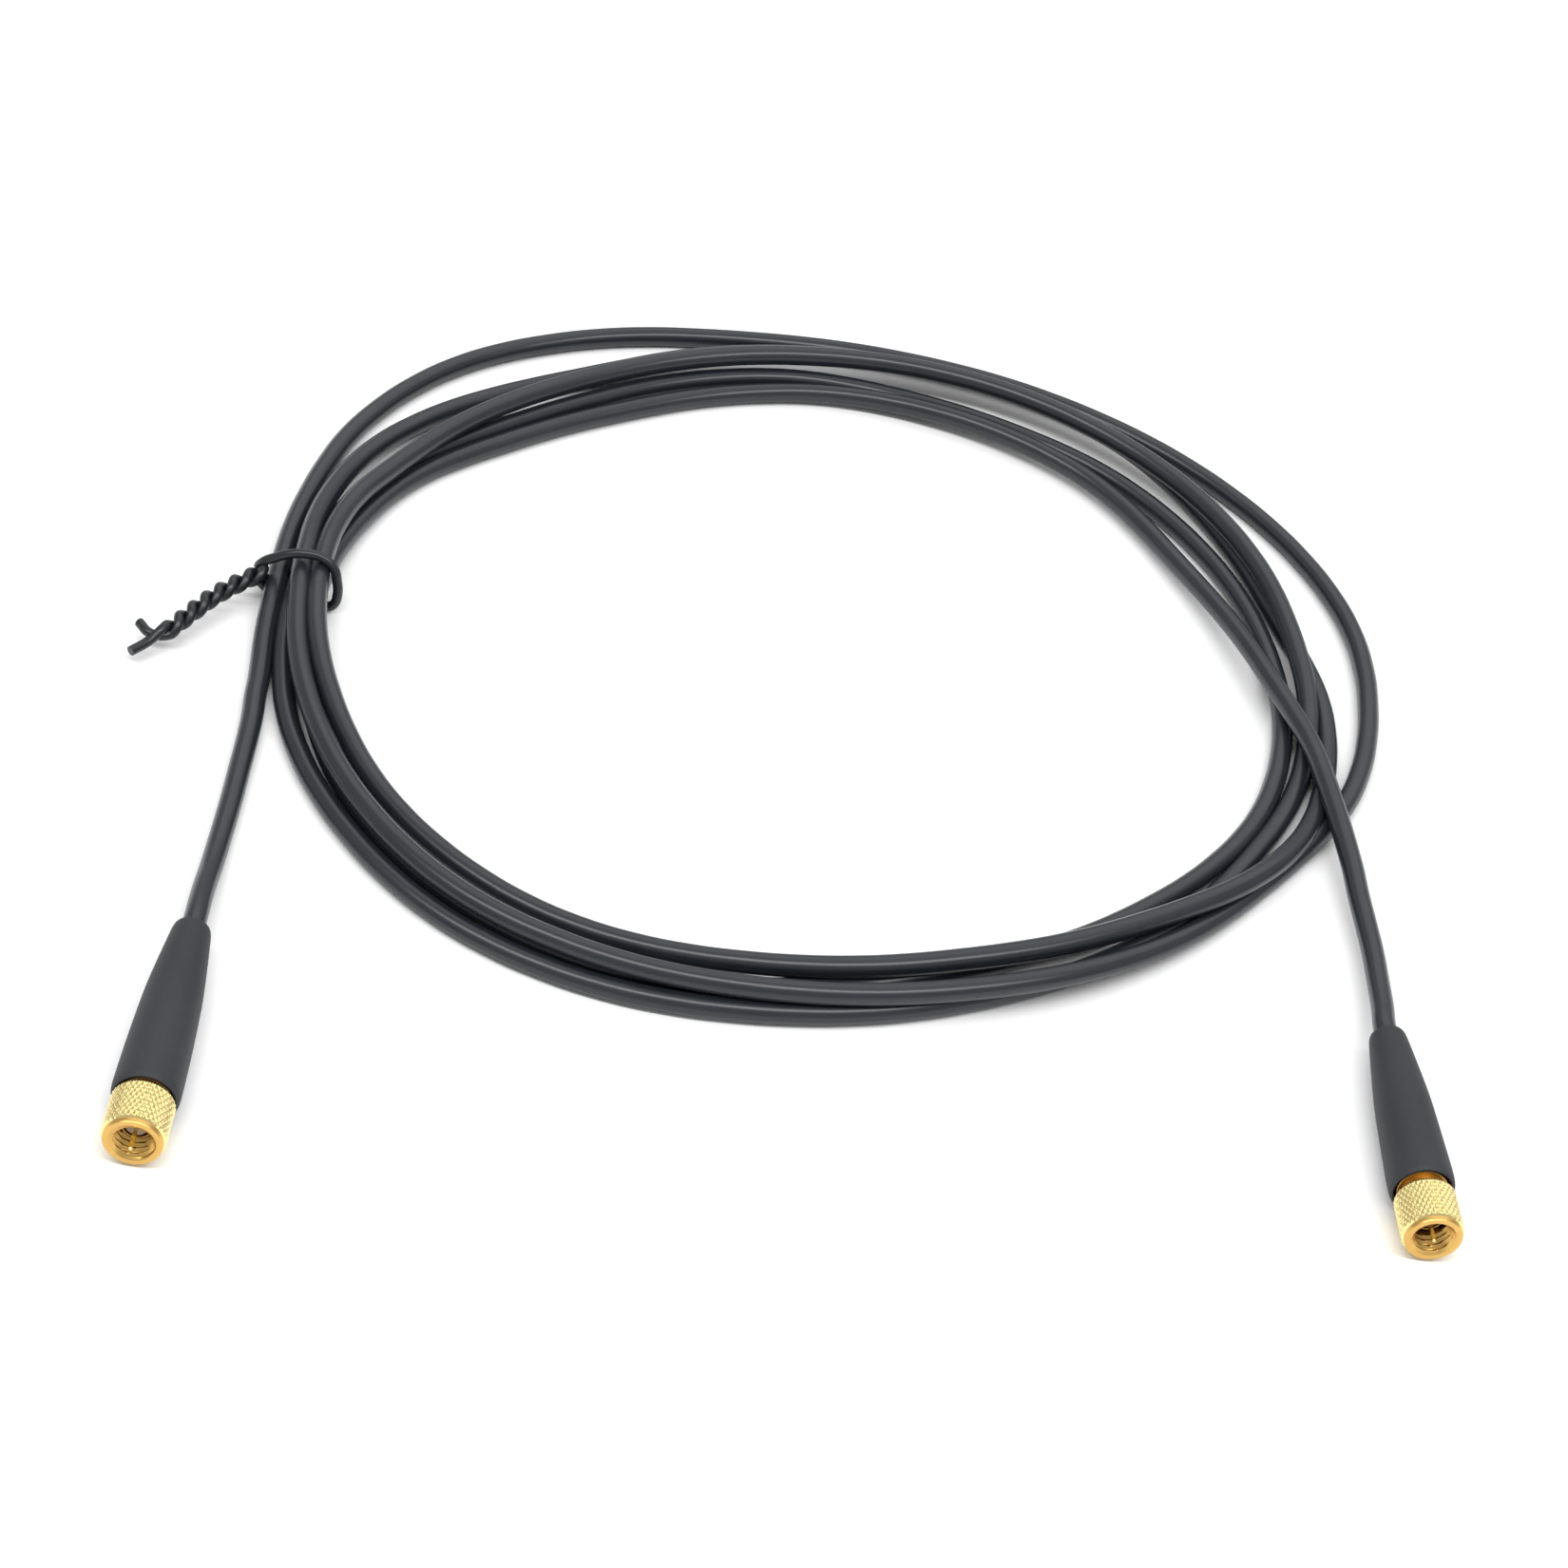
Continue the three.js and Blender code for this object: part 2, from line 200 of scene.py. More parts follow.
class Winding:
    """Radius and height along all the turns, smooth between the chosen places."""

    def __init__(self):
        places = [RUN_IN]
        for number, turn in enumerate(TURNS):
            places += [(degrees + 360 * number, radius, height) for degrees, radius, height in turn]
        self.places = places
        self.end = places[-1][0]

    def slope(self, i, column):
        before = self.places[max(i - 1, 0)]
        after = self.places[min(i + 1, len(self.places) - 1)]
        return (after[column] - before[column]) / (after[0] - before[0])

    def at(self, degrees):
        i = max(j for j, place in enumerate(self.places[:-1]) if place[0] <= degrees)
        a, b = self.places[i], self.places[i + 1]
        width = b[0] - a[0]
        t = (degrees - a[0]) / width
        radius, height = (
            hermite(a[k], b[k], self.slope(i, k), self.slope(i + 1, k), width, t) for k in (1, 2)
        )
        place = polar(radius, TIE_ANGLE - degrees)
        place.z = max(height, LOWEST)
        return COIL_MIDDLE + place * MM


def lead_start(side):
    return COIL_MIDDLE + polar(*PLUGS[side]["start"]) * MM


def plug_axis(side):
    """The matrix that carries +Z at the boot's cable end onto the plug's own axis."""
    plug = PLUGS[side]
    heading = radians(plug["heading"])
    along = Vector((cos(heading), sin(heading), 0))
    up = Vector((0, 0, 1))
    across = up.cross(along)
    rear = lead_start(side) + Vector((*plug["rear"], 0)) * MM
    rear.z = AXIS_HEIGHT * MM
    turn = Matrix((across, up, along)).transposed()
    return Matrix.Translation(rear) @ turn.to_4x4()


def lead_points(side, points):
    start = lead_start(side)
    on_axis = [plug_axis(side) @ Vector((0, 0, reach * MM)) for reach in (-AXIS_REACH, AXIS_REACH)]
    return [start + Vector(point) * MM for point in points] + on_axis


def cable_route():
    winding = Winding()
    steps = int((winding.end - RUN_IN[0]) // COIL_STEP)
    coil = [winding.at(RUN_IN[0] + COIL_STEP * i) for i in range(steps + 1)]
    return lead_points("left", LEFT_LEAD)[::-1] + coil + lead_points("right", RIGHT_LEAD)


def smooth_curve(name, points, diameter, sides, resolution):
    """A round wire along points, as a curve of one open spline."""
    data = bpy.data.curves.new(name, "CURVE")
    data.dimensions = "3D"
    data.resolution_u = resolution
    data.bevel_depth = diameter / 2
    data.bevel_resolution = sides // 4
    data.use_fill_caps = True
    spline = data.splines.new("BEZIER")
    spline.bezier_points.add(len(points) - 1)
    for bezier, place in zip(spline.bezier_points, points):
        bezier.co = place
        bezier.handle_left_type = bezier.handle_right_type = "AUTO"
    piece = bpy.data.objects.new(name, data)
    bpy.context.scene.collection.objects.link(piece)
    return piece


def mesh_piece(name, bm, place, sharp):
    """Places a finished bmesh and turns it into a named object at the origin."""
    bmesh.ops.remove_doubles(bm, verts=bm.verts, dist=1e-7)
    bmesh.ops.transform(bm, matrix=place, verts=bm.verts)
    bmesh.ops.recalc_face_normals(bm, faces=bm.faces)
    for face in bm.faces:
        face.smooth = True
    mesh = bpy.data.meshes.new(name)
    bm.to_mesh(mesh)
    bm.free()
    mesh.set_sharp_from_angle(angle=radians(sharp))
    piece = bpy.data.objects.new(name, mesh)
    bpy.context.scene.collection.objects.link(piece)
    return piece


def turned(profile, steps):
    """A bmesh turned about +Z from (radius, height) points in millimetres."""
    bm = bmesh.new()
    verts = [bm.verts.new((radius * MM, 0, height * MM)) for radius, height in profile]
    for a, b in zip(verts, verts[1:]):
        bm.edges.new((a, b))
    bmesh.ops.spin(
        bm, geom=bm.verts[:] + bm.edges[:], axis=(0, 0, 1), cent=(0, 0, 0), angle=2 * pi, steps=steps,
        use_merge=True,
    )
    return bm


def rounded(profile, corners, radius, steps=4):
    """The profile with the corners whose numbers are given replaced by small arcs."""
    out = []
    for i, point in enumerate(profile):
        if i not in corners:
            out.append(point)
            continue
        here, before, after = (Vector(profile[j % len(profile)]) for j in (i, i - 1, i + 1))
        start = here + (before - here).normalized() * radius
        stop = here + (after - here).normalized() * radius
        for step in range(steps + 1):
            t = step / steps
            out.append(tuple((1 - t) ** 2 * start + 2 * t * (1 - t) * here + t**2 * stop))
    return out


def evenly(start, stop, count):
    return [start + (stop - start) * i / count for i in range(count + 1)]


# Materials

def new_group(name, inputs, outputs):
    group = bpy.data.node_groups.new(name, "ShaderNodeTree")
    for label, kind, default in inputs:
        group.interface.new_socket(label, in_out="INPUT", socket_type=kind).default_value = default
    for label, kind in outputs:
        group.interface.new_socket(label, in_out="OUTPUT", socket_type=kind)
    nodes = group.nodes
    return group, nodes.new("NodeGroupInput"), nodes.new("NodeGroupOutput"), nodes, group.links


def mottle_group():
    """Two sizes of cloudy variation: a slow one for colour and gloss, a fine one for the grain."""
    inputs = (
        ("Vector", "NodeSocketVector", (0, 0, 0)),
        ("Slow", "NodeSocketFloat", 60),
        ("Fine", "NodeSocketFloat", 2500),
    )
    outputs = (("Slow", "NodeSocketFloat"), ("Fine", "NodeSocketFloat"))
    group, start, end, nodes, links = new_group("mottle", inputs, outputs)
    for label, detail in (("Slow", 3), ("Fine", 6)):
        noise = nodes.new("ShaderNodeTexNoise")
        noise.inputs["Detail"].default_value = detail
        links.new(start.outputs["Vector"], noise.inputs["Vector"])
        links.new(start.outputs[label], noise.inputs["Scale"])
        links.new(noise.outputs["Fac"], end.inputs[label])
    return group


def wear_group():
    """A mask that is white on edges that stand out, broken up by a noise."""
    inputs = (
        ("Vector", "NodeSocketVector", (0, 0, 0)),
        ("Low", "NodeSocketFloat", 0.5),
        ("High", "NodeSocketFloat", 0.6),
    )
    group, start, end, nodes, links = new_group("edge_wear", inputs, (("Mask", "NodeSocketFloat"),))
    geometry = nodes.new("ShaderNodeNewGeometry")
    ramp = nodes.new("ShaderNodeMapRange")
    links.new(geometry.outputs["Pointiness"], ramp.inputs["Value"])
    links.new(start.outputs["Low"], ramp.inputs["From Min"])
    links.new(start.outputs["High"], ramp.inputs["From Max"])
    noise = nodes.new("ShaderNodeTexNoise")
    noise.inputs["Scale"].default_value = 900
    links.new(start.outputs["Vector"], noise.inputs["Vector"])
    times = nodes.new("ShaderNodeMath")
    times.operation = "MULTIPLY"
    links.new(ramp.outputs["Result"], times.inputs[0])
    links.new(noise.outputs["Fac"], times.inputs[1])
    links.new(times.outputs["Value"], end.inputs["Mask"])
    return group


def place_group(material, group, **values):
    node = material.node_tree.nodes.new("ShaderNodeGroup")
    node.node_tree = group
    for name, value in values.items():
        node.inputs[name].default_value = value
    return node


def base_material(name, **values):
    """A material, its shader with fixed values on its own sockets, and Object coordinates."""
    material = bpy.data.materials.new(name)
    material.use_nodes = True
    shader = material.node_tree.nodes["Principled BSDF"]
    for label, value in values.items():
        shader.inputs[label.replace("_", " ")].default_value = value
    coordinates = material.node_tree.nodes.new("ShaderNodeTexCoord")
    return material, shader, coordinates, material.node_tree.links


def blend_colours(material, mask, dark, light, target):
    mix = material.node_tree.nodes.new("ShaderNodeMix")
    mix.data_type = "RGBA"
    mix.inputs[MIX_COLOUR_A].default_value = (*dark, 1)
    mix.inputs[MIX_COLOUR_B].default_value = (*light, 1)
    material.node_tree.links.new(mask, mix.inputs["Factor"])
    material.node_tree.links.new(mix.outputs[MIX_COLOUR_OUT], target)


def spread(material, value, low, high, target):
    """Maps a 0 to 1 value onto low to high and feeds it to target."""
    ramp = material.node_tree.nodes.new("ShaderNodeMapRange")
    ramp.inputs["To Min"].default_value = low
    ramp.inputs["To Max"].default_value = high
    material.node_tree.links.new(value, ramp.inputs["Value"])
    material.node_tree.links.new(ramp.outputs["Result"], target)


def relief(material, shader, height, distance, strength):
    bump = material.node_tree.nodes.new("ShaderNodeBump")
    bump.inputs["Strength"].default_value = strength
    bump.inputs["Distance"].default_value = distance
    material.node_tree.links.new(height, bump.inputs["Height"])
    material.node_tree.links.new(bump.outputs["Normal"], shader.inputs["Normal"])


def lighter(colour, factor):
    return tuple(min(1, channel * factor) for channel in colour[:3])


class Finishes:
    """The object's materials, made once from the chosen colours."""

    def __init__(self, colours):
        self.mottle = mottle_group()
        self.wear = wear_group()
        self.jacket = self.plastic(
            "jacket", colours.jacket, smooth=0.27, rough=0.33, slow=120, fine=3000, depth=0.0000012
        )
        self.boot = self.plastic(
            "boot_sleeve", colours.boot, smooth=0.55, rough=0.72, slow=90, fine=2600, depth=0.00001
        )
        self.tie = self.plastic(
            "tie_coating", colours.tie, smooth=0.28, rough=0.40, slow=200, fine=2000, depth=0.000006
        )
        # The insulator's brown is a painted reflection of the gold round it.
        self.insulator = self.plastic(
            "insulator", colours.insulator, smooth=0.45, rough=0.6, slow=400, fine=3000, depth=0.000003
        )
        self.gold = self.plated("gold_plating", colours.gold, smooth=0.12, rough=0.26)
        # A darker copy of the gold, painted shade, for the faces inside each nut and on its front rim, the
        # plug bodies and the ferrules.
        shaded_tone = tuple(channel * tone for channel, tone in zip(colours.gold, (0.7, 0.55, 0.38)))
        self.shaded_gold = self.plated("gold_plating_painted_shade", shaded_tone, smooth=0.28, rough=0.42)

    def plastic(self, name, colour, smooth, rough, slow, fine, depth):
        material, shader, coordinates, links = base_material(name, Specular_IOR_Level=0.5)
        mottle = place_group(material, self.mottle, Slow=slow, Fine=fine)
        links.new(coordinates.outputs["Object"], mottle.inputs["Vector"])
        dark, light = lighter(colour, 0.75), lighter(colour, 1.3)
        blend_colours(material, mottle.outputs["Slow"], dark, light, shader.inputs["Base Color"])
        spread(material, mottle.outputs["Fine"], smooth, rough, shader.inputs["Roughness"])
        relief(material, shader, mottle.outputs["Fine"], distance=depth, strength=0.6)
        return material

    def plated(self, name, colour, smooth, rough):
        material, shader, coordinates, links = base_material(name, Metallic=1.0)
        mottle = place_group(material, self.mottle, Slow=500, Fine=6000)
        wear = place_group(material, self.wear, Low=0.5, High=0.62)
        links.new(coordinates.outputs["Object"], mottle.inputs["Vector"])
        links.new(coordinates.outputs["Object"], wear.inputs["Vector"])
        worn = lighter(colour, 1.25)
        blend_colours(material, wear.outputs["Mask"], colour[:3], worn, shader.inputs["Base Color"])
        spread(material, mottle.outputs["Slow"], smooth, rough, shader.inputs["Roughness"])
        relief(material, shader, mottle.outputs["Fine"], distance=0.000002, strength=0.4)
        return material


FINISHES = {}


def finishes():
    if "made" not in FINISHES:
        FINISHES["made"] = Finishes(bpy.context.scene.probe_colours)
    return FINISHES["made"]


def finish(piece, material, slot, body, *nodes):
    """Gives a piece its material and the body it rides on, and hides the nodes it stands for. The slot is
    not used.
    """
    piece.data.materials.append(material)
    if nodes:
        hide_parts(*nodes)
    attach(piece, body)


# What a user would change

class ProbeColours(bpy.types.PropertyGroup):
    jacket: FloatVectorProperty(
        name="Jacket", description="Cable jacket", subtype="COLOR", size=3, min=0, max=1,
        default=(0.014, 0.017, 0.022),
    )
    boot: FloatVectorProperty(
        name="Boot", description="Boot over each crimp", subtype="COLOR", size=3, min=0, max=1,
        default=(0.020, 0.021, 0.025),
    )
    gold: FloatVectorProperty(
        name="Gold", description="Plating of nuts, bodies and pins", subtype="COLOR", size=3, min=0, max=1,
        default=(0.95, 0.76, 0.33),
    )
    # Its brown default is a painted reflection of the surrounding gold.
    insulator: FloatVectorProperty(
        name="Insulator", description="Ring round each pin", subtype="COLOR", size=3, min=0, max=1,
        default=(0.46, 0.36, 0.25),
    )
    tie: FloatVectorProperty(
        name="Tie", description="Coating of the twist tie", subtype="COLOR", size=3, min=0, max=1,
        default=(0.010, 0.011, 0.014),
    )


class CableSizes(bpy.types.PropertyGroup):
    diameter: FloatProperty(
        name="Cable diameter", description="Over the jacket", default=0.0028, min=0.001, max=0.01,
        unit="LENGTH",
    )
    tie_wire: FloatProperty(
        name="Tie wire", description="Diameter of the tie's coated wire", default=0.0013, min=0.0003,
        max=0.003, unit="LENGTH",
    )
    tie_twist: FloatProperty(
        name="Tie twist", description="Length of one full twist of the tail", default=0.0050, min=0.002,
        max=0.02, unit="LENGTH",
    )


class PlugSizes(bpy.types.PropertyGroup):
    nut_diameter: FloatProperty(
        name="Nut diameter", description="Over the knurling", default=0.0073, min=0.004, max=0.02,
        unit="LENGTH",
    )
    knurls: IntProperty(name="Knurls", description="Teeth round each nut", default=36, min=8, max=80)
    knurl_depth: FloatProperty(
        name="Knurl depth", description="From the teeth's tips to their roots", default=0.00014, min=0,
        max=0.001, unit="LENGTH",
    )
    thread_pitch: FloatProperty(
        name="Thread pitch", description="10-32 thread", default=0.000794, min=0.0002, max=0.003,
        unit="LENGTH",
    )


# Operators

class ProbeOperator(bpy.types.Operator):
    bl_options = {"REGISTER", "UNDO"}


class PROBE_OT_camera(ProbeOperator):
    """Adds the camera at the photograph's viewing angle"""

    bl_idname = "probe.camera"
    bl_label = "Camera"

    def execute(self, context):
        data = bpy.data.cameras.new("photo_view")
        data.lens = VIEW_LENS
        data.sensor_width = SENSOR_WIDTH
        data.clip_start = 0.01
        data.clip_end = 20
        camera = bpy.data.objects.new("photo_view", data)
        forward = Vector((0, cos(VIEW_ELEVATION), -sin(VIEW_ELEVATION)))
        level_right = Vector((1, 0, 0))
        level_up = Vector((0, sin(VIEW_ELEVATION), cos(VIEW_ELEVATION)))
        right = level_right * cos(VIEW_ROLL) + level_up * sin(VIEW_ROLL)
        up = level_up * cos(VIEW_ROLL) - level_right * sin(VIEW_ROLL)
        turn = Matrix((right, up, -forward)).transposed()
        camera.matrix_world = Matrix.Translation(VIEW_SPOT - forward * VIEW_DISTANCE) @ turn.to_4x4()
        context.scene.collection.objects.link(camera)
        context.scene.camera = camera
        return {"FINISHED"}


class PROBE_OT_cable(ProbeOperator):
    """Adds the cable, one curve from plug to plug through every turn of the coil"""

    bl_idname = "probe.cable"
    bl_label = "Cable"

    def execute(self, context):
        diameter = context.scene.cable_sizes.diameter
        piece = smooth_curve("cable", cable_route(), diameter, sides=24, resolution=4)
        nodes = ("cable_coil", "cable_lead_left", "cable_lead_right")
        finish(piece, finishes().jacket, "jacket", "lead", *nodes)
        return {"FINISHED"}


class PROBE_OT_boots(ProbeOperator):
    """Adds the tapered sleeve over each crimp"""

    bl_idname = "probe.boots"
    bl_label = "Boots"

    def execute(self, context):
        for side, plug in PLUGS.items():
            front = plug["boot"]
            # Radius and distance from the boot's cable end, from the cable's mouth to the front edge.
            outside = [
                (1.62, 1.6), (1.62, 0.25), (1.8, 0.0), (2.05, 0.05), (2.22, 0.3), (2.35, 1.0), (2.62, 3.5),
                (2.9, 6.2),
                (3.12, 8.4), (3.3, 10.4), (3.42, 12.2), (3.52, 14.2), (3.64, 17.0), (3.76, 20.0),
                (3.86, front - 3.2), (3.9, front - 1.6), (3.88, front - 0.7), (3.78, front - 0.22),
                (3.6, front),
            ]
            inside = [(3.42, front), (3.32, front - 0.15), (3.3, front - 0.6), (3.3, front - 2.4)]
            shape = turned(outside + inside, steps=96)
            piece = mesh_piece(f"boot_sleeve_{side}", shape, plug_axis(side), sharp=50)
            shell = piece.modifiers.new("smooth", "SUBSURF")
            shell.levels = shell.render_levels = 1
            finish(piece, finishes().boot, "boot", "lead", f"boot_{side}")
        return {"FINISHED"}


class PROBE_OT_nuts(ProbeOperator):
    """Adds the knurled and threaded coupling nuts, which turn on the plugs"""

    bl_idname = "probe.nuts"
    bl_label = "Coupling nuts"

    def execute(self, context):
        sizes = context.scene.plug_sizes
        for side, plug in PLUGS.items():
            piece = self.nut(side, plug, sizes)
            finish(piece, finishes().gold, "gold", f"nut_{side}", f"coupling_nut_{side}")
            # The second slot holds the darker gold: painted shade for the nut's inside and its rim.
            piece.data.materials.append(finishes().shaded_gold)
        return {"FINISHED"}

    def profile(self, rear, front, knurl_end, thread_start, outer):
        """The back edge, the knurled grip, the rim, the bore and the chamber behind the thread."""
        grip = [(outer, y) for y in evenly(rear + 0.3, knurl_end - 0.12, 44)]
        bore = [(THREAD_RADIUS, y) for y in evenly(front - 0.25, thread_start, 36)]
        neck_front = (NUT_NECK_RADIUS, rear + 1.2)
        return (
            [neck_front, (NUT_NECK_RADIUS, rear), (outer - 0.45, rear), (outer - 0.2, rear + 0.08)]
            + grip
            + [(outer - 0.2, knurl_end), (RIM_RADIUS, knurl_end + 0.06), (RIM_RADIUS, front - 0.16)]
            + [(3.28, front - 0.04), (3.16, front), (2.72, front), (2.6, front - 0.08)]
            + bore
            + [(CHAMBER_RADIUS, thread_start - 0.1), (CHAMBER_RADIUS, rear + 1.2), neck_front]
        )

    def nut(self, side, plug, sizes):
        rear = plug["boot"] + plug["slide"]
        front = rear + NUT_LENGTH
        outer = sizes.nut_diameter / MM / 2
        knurl_end = front - NUT_RIM
        thread_start = rear + THREAD_FROM
        profile = self.profile(rear, front, knurl_end, thread_start, outer)
        bm = turned(profile, steps=sizes.knurls * STEPS_PER_KNURL)
        # Faces inside the nut and on its front rim take the second slot, the darker gold of painted shade.
        for face in bm.faces:
            middle = face.calc_center_median()
            inside = sqrt(middle.x ** 2 + middle.y ** 2) < (outer - 0.32) * MM
            if inside or middle.z > (knurl_end + 0.1) * MM:
                face.material_index = 1
        helix = radians(KNURL_HELIX)
        for vert in bm.verts:
            x, y, z = vert.co
            radius, height = sqrt(x * x + y * y), z / MM
            angle = acos(max(-1, min(1, x / radius))) * (1 if y >= 0 else -1)
            threaded = thread_start - 0.05 < height < front - 0.2
            change = 0
            if abs(radius / MM - outer) < SAME_RADIUS:
                along = (height - rear) * MM / (sizes.nut_diameter / 2) * (sin(helix) / cos(helix))
                ridges = [abs(sin(sizes.knurls * (angle + lean * along) / 2)) for lean in (1, -1)]
                change = -sizes.knurl_depth * (1 - min(ridges) ** 0.8)
            elif abs(radius / MM - THREAD_RADIUS) < SAME_RADIUS and threaded:
                turn = (angle / (2 * pi) + height * MM / sizes.thread_pitch) % 1
                change = -THREAD_DEPTH * MM * max(0, 1 - abs(turn - 0.5) * 2.6)
            vert.co.x += x / radius * change
            vert.co.y += y / radius * change
        return mesh_piece(f"knurled_nut_{side}", bm, plug_axis(side), sharp=35)


class PROBE_OT_cores(ProbeOperator):
    """Adds the plug bodies, insulators and pins, which show inside the nuts"""

    bl_idname = "probe.cores"
    bl_label = "Plug cores"

    def execute(self, context):
        made = finishes()
        for side, plug in PLUGS.items():
            front = plug["boot"]
            axis = plug_axis(side)
            # The plug body gets the darker gold: painted shade inside the nut.
            piece = mesh_piece(f"plug_core_{side}", turned(self.body(front), steps=72), axis, sharp=40)
            finish(piece, made.shaded_gold, "gold", "lead", f"plug_body_{side}")
            # The ring's brown colour is a painted reflection of the gold round it.
            piece = mesh_piece(f"insulator_ring_{side}", turned(self.ring(front), steps=48), axis, sharp=40)
            finish(piece, made.insulator, "insulator", "lead", f"insulator_{side}")
            piece = mesh_piece(f"contact_pin_{side}", turned(self.pin(front), steps=32), axis, sharp=60)
            finish(piece, made.gold, "gold", "lead", f"centre_pin_{side}")
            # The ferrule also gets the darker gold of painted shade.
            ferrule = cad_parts[f"crimp_ferrule_{side}"]
            ferrule.data.materials.clear()
            ferrule.data.materials.append(made.shaded_gold)
        return {"FINISHED"}

    def body(self, front):
        """The stem, shoulder, neck, retaining ring and barrel, from the back forward."""
        profile = [
            (0, front - 16.0), (STEM_RADIUS, front - 16.0), (STEM_RADIUS, front - 9.0),
            (SHOULDER_RADIUS, front - 9.0), (SHOULDER_RADIUS, front - 0.3),
            (NECK_RADIUS, front - 0.3), (NECK_RADIUS, front + 2.5),
            (RETAINER_RADIUS, front + 2.5), (RETAINER_RADIUS, front + 3.2),
            (BARREL_RADIUS, front + 3.2), (BARREL_RADIUS, front + BARREL_END),
            (BARREL_BORE, front + BARREL_END), (BARREL_BORE, front + 2.0), (0, front + 2.0),
        ]
        return rounded(profile, corners=(3, 4, 7, 8, 10, 11), radius=0.12)

    def ring(self, front):
        back, end = front + INSULATOR_BACK, front + BARREL_END
        profile = [(0.32, back), (1.2, back), (1.2, end), (0.32, end), (0.32, back)]
        return rounded(profile, corners=(2, 3), radius=0.1)

    def pin(self, front):
        """A thin rod with a rounded tip."""
        back, dome = front + INSULATOR_BACK, front + PIN_DOME
        tip = [(PIN_RADIUS * cos(a), dome + 0.35 * sin(a)) for a in evenly(0.2, pi / 2 - 0.15, 6)]
        return [(0, back), (PIN_RADIUS, back), (PIN_RADIUS, dome)] + tip + [(0, front + PIN_END)]


class PROBE_OT_tie(ProbeOperator):
    """Adds the twist tie: one wire round the bundle, its two legs twisted into a tail"""

    bl_idname = "probe.tie"
    bl_label = "Twist tie"

    def execute(self, context):
        sizes = context.scene.cable_sizes
        piece = smooth_curve("twist_tie_wire", self.route(sizes), sizes.tie_wire, sides=16, resolution=4)
        finish(piece, finishes().tie, "tie", "lead", "twist_tie")
        return {"FINISHED"}

    def loop(self, sizes):
        """Round the bundle from the outer side over the top, down the inner side and back below."""
        half = sizes.tie_wire / MM / 2
        # Radius, height and shift along the coil of the wire's middle, in millimetres.
        cross = [
            (73.9 + half, 3.6, 0.4), (73.6 + half, 4.6, 0.6), (72.5, 5.4 + half, 0.9),
            (70.6, 6.5 + half, 1.2),
            (68.6, 7.0 + half, 1.4), (66.5, 6.9 + half, 1.7), (65.0, 5.9 + half, 2.1), (64.3, 4.6, 2.6),
            (64.1, 3.0, 3.0), (64.5, 1.4, 3.2), (65.6, half + 0.05, 3.0), (68.0, half, 2.4),
            (71.0, half, 1.5),
            (73.0, half + 0.1, 0.9), (74.0, 1.3, 0.6), (74.1 + half, 2.4, 0.5),
        ]
        tangent = polar(1, TIE_ANGLE - 90)
        outward = polar(1, TIE_ANGLE)
        return [
            COIL_MIDDLE + (outward * radius + Vector((0, 0, height)) - tangent * shift) * MM
            for radius, height, shift in cross
        ]

    def tail(self, sizes, phase):
        """One leg of the twist, wound round the tail's middle line."""
        start = COIL_MIDDLE + polar(TIE_TAIL_RADIUS, TIE_ANGLE) * MM
        middle = [start + Vector(point) * MM for point in TIE_TAIL]
        reach = [0]
        for a, b in zip(middle, middle[1:]):
            reach.append(reach[-1] + (b - a).length)
        count = int(reach[-1] / sizes.tie_twist * 12)
        leg = []
        for i in range(count + 1):
            distance = reach[-1] * i / count
            j = max(k for k in range(len(reach) - 1) if reach[k] <= distance)
            t = (distance - reach[j]) / (reach[j + 1] - reach[j])
            spot = middle[j].lerp(middle[j + 1], t)
            along = (middle[j + 1] - middle[j]).normalized()
            side = along.cross(Vector((0, 0, 1))).normalized()
            lift = side.cross(along)
            angle = 2 * pi * distance / sizes.tie_twist + phase
            leg.append(spot + (side * cos(angle) + lift * sin(angle)) * sizes.tie_wire / 2)
        return leg

    def route(self, sizes):
        start = COIL_MIDDLE + polar(TIE_TAIL_RADIUS, TIE_ANGLE) * MM
        tips = [[start + Vector(point) * MM for point in tip] for tip in TIE_TIPS]
        over, under = self.tail(sizes, pi / 2), self.tail(sizes, -pi / 2)
        return tips[0][::-1] + over[::-1] + self.loop(sizes) + under + tips[1]


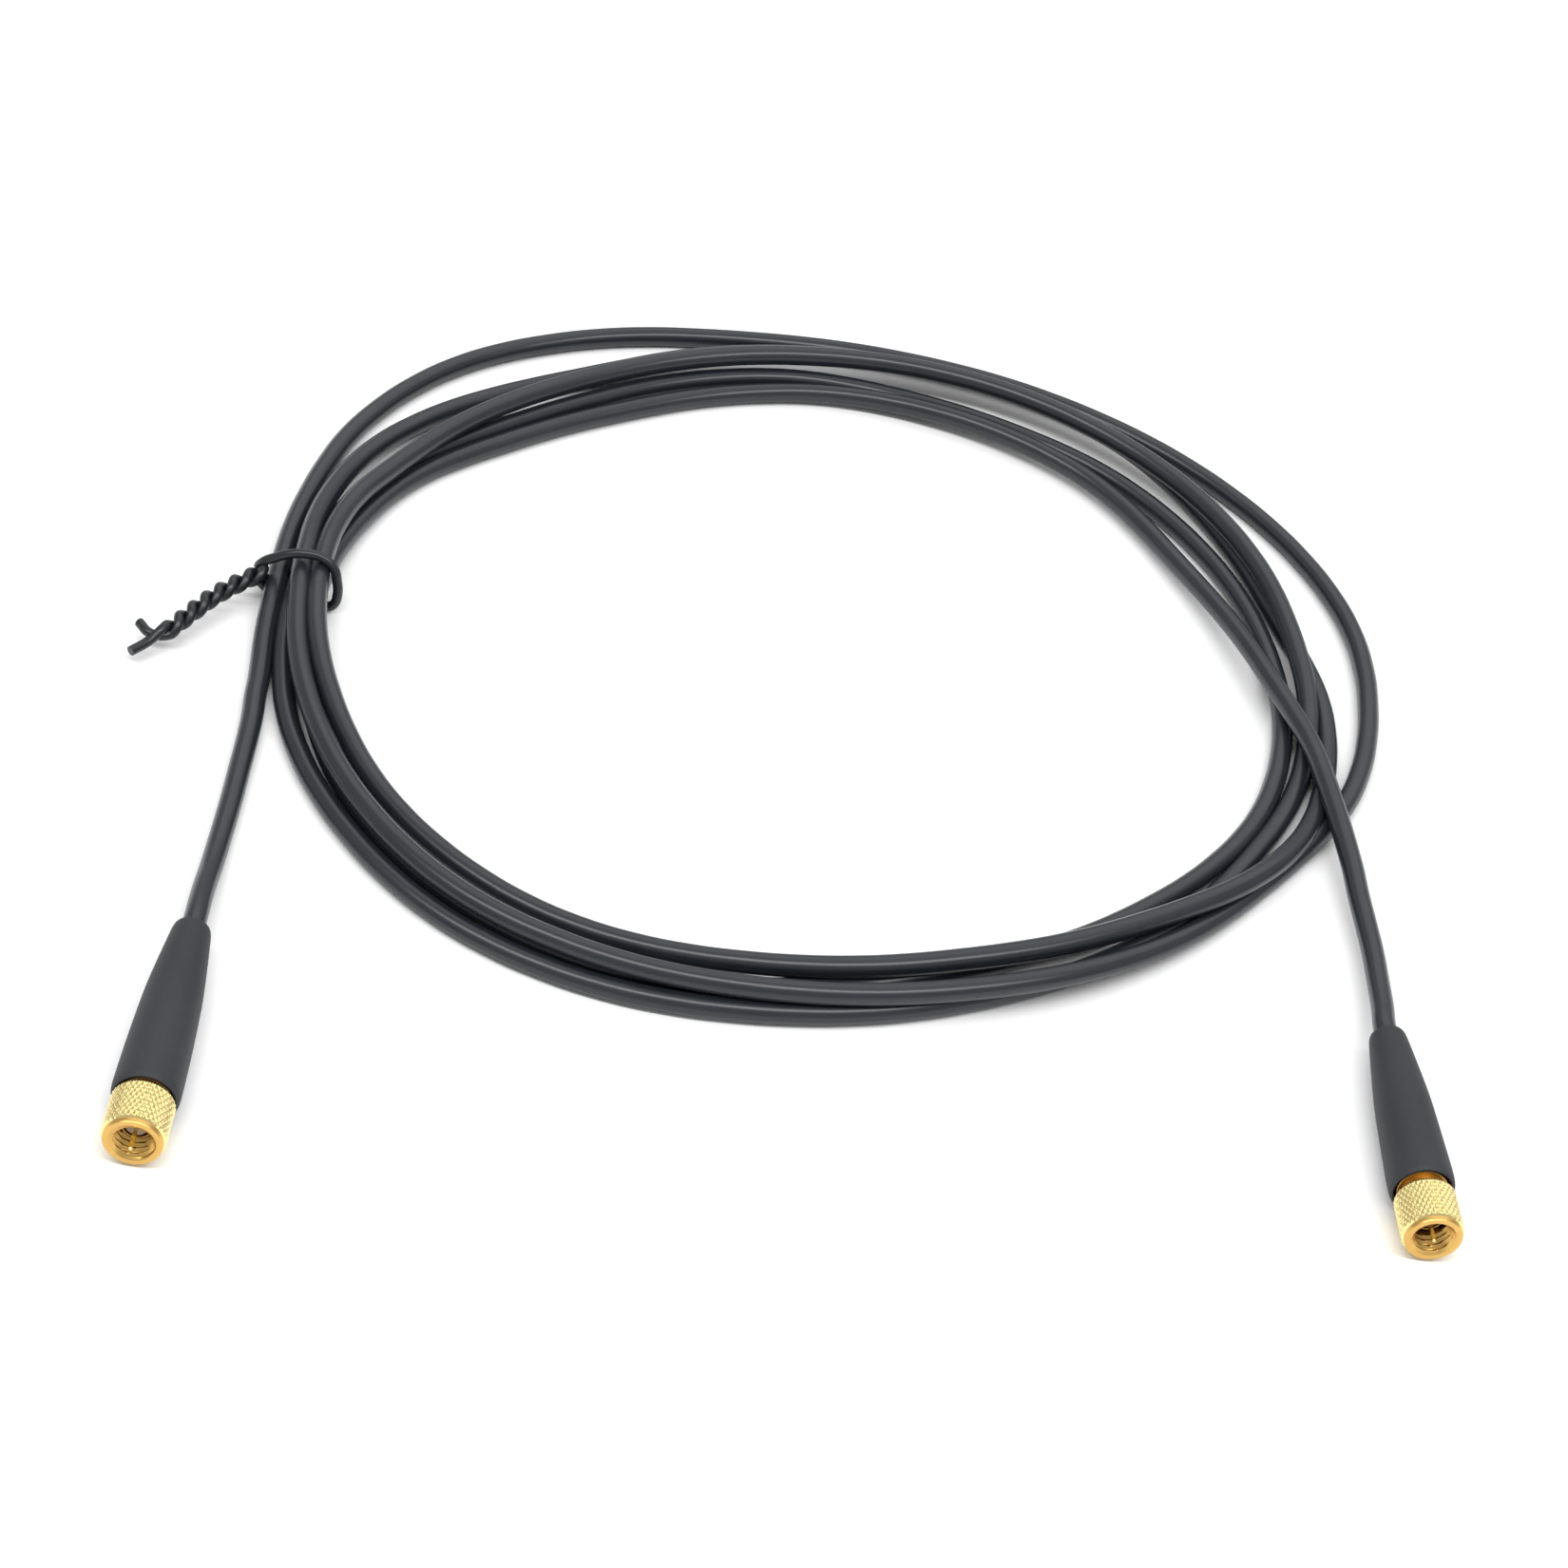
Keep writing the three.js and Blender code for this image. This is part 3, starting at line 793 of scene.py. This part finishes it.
class PROBE_OT_stage(ProbeOperator):
    """Adds the pale floor, the soft light and the strip of light overhead"""

    bl_idname = "probe.stage"
    bl_label = "Stage"

    def execute(self, context):
        self.floor()
        self.world(context.scene)
        self.lamp("overhead_strip", place=(0, -0.36, 0.95), size=(1.8, 0.16), power=11)
        self.lamp("broad_softbox", place=(0.2, 0.9, 1.3), size=(2.2, 1.4), power=9)
        context.scene.view_settings.view_transform = "Standard"
        return {"FINISHED"}

    def floor(self):
        bm = bmesh.new()
        bmesh.ops.create_grid(bm, x_segments=2, y_segments=2, size=6)
        mesh = bpy.data.meshes.new("floor")
        bm.to_mesh(mesh)
        bm.free()
        floor = bpy.data.objects.new("floor", mesh)
        material, shader, coordinates, links = base_material(
            "pale_floor", Roughness=0.9, Specular_IOR_Level=0.1
        )
        mottle = place_group(material, finishes().mottle, Slow=3, Fine=400)
        links.new(coordinates.outputs["Object"], mottle.inputs["Vector"])
        blend_colours(material, mottle.outputs["Slow"], *FLOOR_TONES, shader.inputs["Base Color"])
        mesh.materials.append(material)
        bpy.context.scene.collection.objects.link(floor)

    def world(self, scene):
        world = bpy.data.worlds.new("studio")
        world.use_nodes = True
        background = world.node_tree.nodes["Background"]
        background.inputs["Color"].default_value = (1, 1, 1, 1)
        background.inputs["Strength"].default_value = WORLD_STRENGTH
        scene.world = world

    def lamp(self, name, place, size, power):
        data = bpy.data.lights.new(name, "AREA")
        data.shape = "RECTANGLE"
        data.size, data.size_y = size
        data.energy = power
        lamp = bpy.data.objects.new(name, data)
        spot = Vector(place)
        towards_part = (-spot).to_track_quat("-Z", "Y").to_matrix().to_4x4()
        lamp.matrix_world = Matrix.Translation(spot) @ towards_part
        bpy.context.scene.collection.objects.link(lamp)


def declare_cord():
    """Finds the left boot's cable end on the plug's axis; nothing further is done with it."""
    exit_point = plug_axis("left").translation


STEPS = ("camera", "cable", "boots", "nuts", "cores", "tie", "stage")


class PROBE_PT_panel(bpy.types.Panel):
    bl_label = "Probe cable"
    bl_idname = "PROBE_PT_panel"
    bl_space_type = "VIEW_3D"
    bl_region_type = "UI"
    bl_category = "Probe cable"

    def draw(self, context):
        for group in (context.scene.probe_colours, context.scene.cable_sizes, context.scene.plug_sizes):
            for name in group.__annotations__:
                self.layout.prop(group, name)
        for step in STEPS:
            self.layout.operator(f"probe.{step}")


CLASSES = (
    ProbeColours, CableSizes, PlugSizes, PROBE_OT_camera, PROBE_OT_cable, PROBE_OT_boots, PROBE_OT_nuts,
    PROBE_OT_cores, PROBE_OT_tie, PROBE_OT_stage, PROBE_PT_panel,
)


def register():
    for item in CLASSES:
        bpy.utils.register_class(item)
    bpy.types.Scene.probe_colours = PointerProperty(type=ProbeColours)
    bpy.types.Scene.cable_sizes = PointerProperty(type=CableSizes)
    bpy.types.Scene.plug_sizes = PointerProperty(type=PlugSizes)


def unregister():
    for name in ("probe_colours", "cable_sizes", "plug_sizes"):
        delattr(bpy.types.Scene, name)
    for item in reversed(CLASSES):
        bpy.utils.unregister_class(item)


def main():
    register()
    for step in STEPS:
        getattr(bpy.ops.probe, step)()
    declare_cord()


if __name__ == "__main__":
    main()
